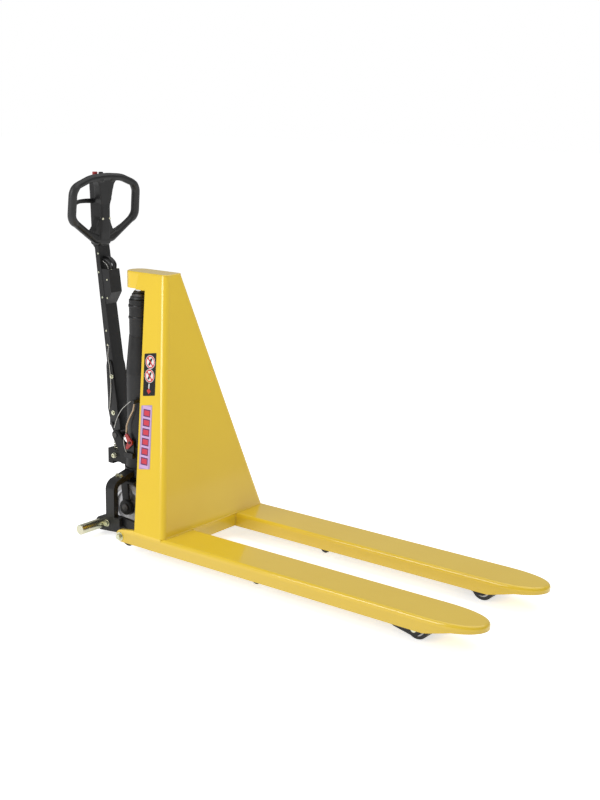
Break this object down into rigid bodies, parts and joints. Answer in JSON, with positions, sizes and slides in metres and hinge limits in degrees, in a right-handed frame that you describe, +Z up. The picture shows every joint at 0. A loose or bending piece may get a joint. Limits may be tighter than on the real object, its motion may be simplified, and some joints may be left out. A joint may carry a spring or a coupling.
{
  "type": "pallet jack",
  "caption": "Hand-pumped high-lift pallet jack with a scissor under twin forks, a leaning mast, steered rear wheels and a tilting tiller with a loop handle.",
  "frame": {"origin": "middle of the footprint, on the floor", "axes": "+X along the forks towards their tips, +Y towards the left fork, +Z up"},
  "size_m": [1.719, 0.542, 1.236],
  "materials": {
    "yellow_paint": "gloss",
    "black_paint": "satin",
    "chrome_steel": "polished",
    "zinc_steel": "zinc plated",
    "dark_steel": "blackened",
    "cast_body": "painted black",
    "grey_tyre": "smooth",
    "black_tyre": "smooth",
    "hub_metal": "cast",
    "grip_rubber": "satin",
    "black_plastic": "fine grain",
    "red_plastic": "gloss",
    "cable_sheath": "smooth",
    "label_film": "printed film",
    "panel_film": "printed film"
  },
  "bodies": {
    "base": {"foot_blocks": "black_paint", "stabiliser_bars": "zinc_steel", "foot_block_bolts": "zinc_steel", "base_side_plates": "black_paint", "rear_pivot_shaft": "zinc_steel", "stabiliser_legs": "black_paint", "bridge_ring": "black_paint", "bridge_bolts": "zinc_steel"},
    "steer_unit": {"steer_fork": "cast_body", "steer_axle": "zinc_steel", "pump_housing": "cast_body", "tiller_pin": "zinc_steel", "plunger_spring": "zinc_steel", "oil_tank": "black_paint", "ram_barrel": "black_paint", "barrel_gland": "black_paint", "release_bracket": "black_paint", "release_cable": "cable_sheath"},
    "right_steer_wheel": {"right_steer_tyre": "grey_tyre", "right_steer_hub": "hub_metal"},
    "left_steer_wheel": {"left_steer_tyre": "grey_tyre", "left_steer_hub": "hub_metal"},
    "ram_stage": {"stage_tube": "dark_steel"},
    "fork_frame": {"front_plate": "yellow_paint", "left_side_plate": "yellow_paint", "right_side_plate": "yellow_paint", "top_plate": "yellow_paint", "top_cap": "yellow_paint", "left_fork": "yellow_paint", "right_fork": "yellow_paint", "cross_sill": "yellow_paint", "rear_lugs": "yellow_paint", "fork_pivot_bolts": "zinc_steel", "safety_label": "label_film", "name_panel": "panel_film", "lift_rod": "chrome_steel"},
    "load_arms": {"load_arms": "black_paint", "scissor_pins": "zinc_steel", "load_axles": "zinc_steel"},
    "right_load_roller": {"right_load_tyre": "black_tyre", "right_load_hub": "hub_metal"},
    "left_load_roller": {"left_load_tyre": "black_tyre", "left_load_hub": "hub_metal"},
    "riser_arms": {"riser_arms": "black_paint", "riser_cross_tube": "black_paint"},
    "right_track_roller": {"right_track_roller": "dark_steel"},
    "left_track_roller": {"left_track_roller": "dark_steel"},
    "tiller": {"tiller_yoke": "black_paint", "press_roller": "dark_steel", "tiller_channel": "black_paint", "cover_box": "black_plastic", "handle_loop": "grip_rubber", "handle_stem": "black_plastic", "stem_screws": "zinc_steel", "cable_arch": "grip_rubber"},
    "control_lever": {"control_lever": "black_plastic"},
    "red_button": {"red_button": "red_plastic"},
    "black_button": {"black_button": "black_plastic"},
    "pump_plunger": {"pump_plunger": "chrome_steel"},
    "release_lever": {"release_lever": "red_plastic"}
  },
  "joints": [
    {"name": "lift", "type": "hinge", "parent": "base", "child": "riser_arms", "pos_m": [-0.4965, 0, 0.0375], "axis": [0, -1, 0], "range_deg": [0, 38.4]},
    {"name": "scissor", "type": "hinge", "parent": "riser_arms", "child": "load_arms", "pos_m": [0.079, 0, 0.0475], "axis": [0, -1, 0], "range_deg": [-76.9, 0]},
    {"name": "fork_level", "type": "hinge", "parent": "load_arms", "child": "fork_frame", "pos_m": [-0.4965, 0, 0.0575], "axis": [0, -1, 0], "range_deg": [0, 38.5]},
    {"name": "ram_stage_slide", "type": "slide", "parent": "steer_unit", "child": "ram_stage", "axis": [0, 0, 1], "range_m": [0, 0.361]},
    {"name": "steering", "type": "hinge", "parent": "base", "child": "steer_unit", "pos_m": [-0.6405, 0, 0.2], "axis": [0, 0, 1], "range_deg": [-90, 90]},
    {"name": "right_steer_spin", "type": "hinge", "parent": "steer_unit", "child": "right_steer_wheel", "pos_m": [-0.6405, -0.051, 0.085], "axis": [0, 1, 0], "continuous": true},
    {"name": "left_steer_spin", "type": "hinge", "parent": "steer_unit", "child": "left_steer_wheel", "pos_m": [-0.6405, 0.051, 0.085], "axis": [0, 1, 0], "continuous": true},
    {"name": "right_load_spin", "type": "hinge", "parent": "load_arms", "child": "right_load_roller", "pos_m": [0.6545, -0.188, 0.0375], "axis": [0, 1, 0], "continuous": true},
    {"name": "left_load_spin", "type": "hinge", "parent": "load_arms", "child": "left_load_roller", "pos_m": [0.6545, 0.188, 0.0375], "axis": [0, 1, 0], "continuous": true},
    {"name": "right_track_spin", "type": "hinge", "parent": "riser_arms", "child": "right_track_roller", "pos_m": [0.6545, -0.1325, 0.0575], "axis": [0, 1, 0], "continuous": true},
    {"name": "left_track_spin", "type": "hinge", "parent": "riser_arms", "child": "left_track_roller", "pos_m": [0.6545, 0.1325, 0.0575], "axis": [0, 1, 0], "continuous": true},
    {"name": "tiller_tilt", "type": "hinge", "parent": "steer_unit", "child": "tiller", "pos_m": [-0.7265, 0, 0.325], "axis": [0, -1, 0], "range_deg": [0, 75], "stiffness_Nm_per_rad": 20, "springref_deg": -91.67},
    {"name": "pump_stroke", "type": "slide", "parent": "steer_unit", "child": "pump_plunger", "axis": [0, 0, 1], "range_m": [-0.0545, 0], "deforming": ["plunger_spring"]},
    {"name": "control_lever_turn", "type": "hinge", "parent": "tiller", "child": "control_lever", "pos_m": [-0.8485, -0.035, 1.132], "axis": [0, 1, 0], "range_deg": [-18, 18], "stiffness_Nm_per_rad": 0.6},
    {"name": "release_lever_turn", "type": "hinge", "parent": "steer_unit", "child": "release_lever", "pos_m": [-0.6325, -0.067, 0.318], "axis": [0, 1, 0], "range_deg": [-18, 18]},
    {"name": "red_button_press", "type": "slide", "parent": "tiller", "child": "red_button", "axis": [0, 0, -1], "range_m": [0, 0.0025], "stiffness_N_per_m": 400, "springref_m": -0.001},
    {"name": "black_button_press", "type": "slide", "parent": "tiller", "child": "black_button", "axis": [0, 0, -1], "range_m": [0, 0.0025], "stiffness_N_per_m": 400, "springref_m": -0.001}
  ],
  "couplings": [
    {"joint": "scissor", "follows": "lift", "ratio": -2},
    {"joint": "fork_level", "follows": "lift", "ratio": 1},
    {"joint": "ram_stage_slide", "follows": "lift", "m_per_rad": 0.538},
    {"joint": "pump_stroke", "follows": "tiller_tilt", "m_per_rad": -0.0414},
    {"joint": "release_lever_turn", "follows": "control_lever_turn", "ratio": 0.9}
  ]
}
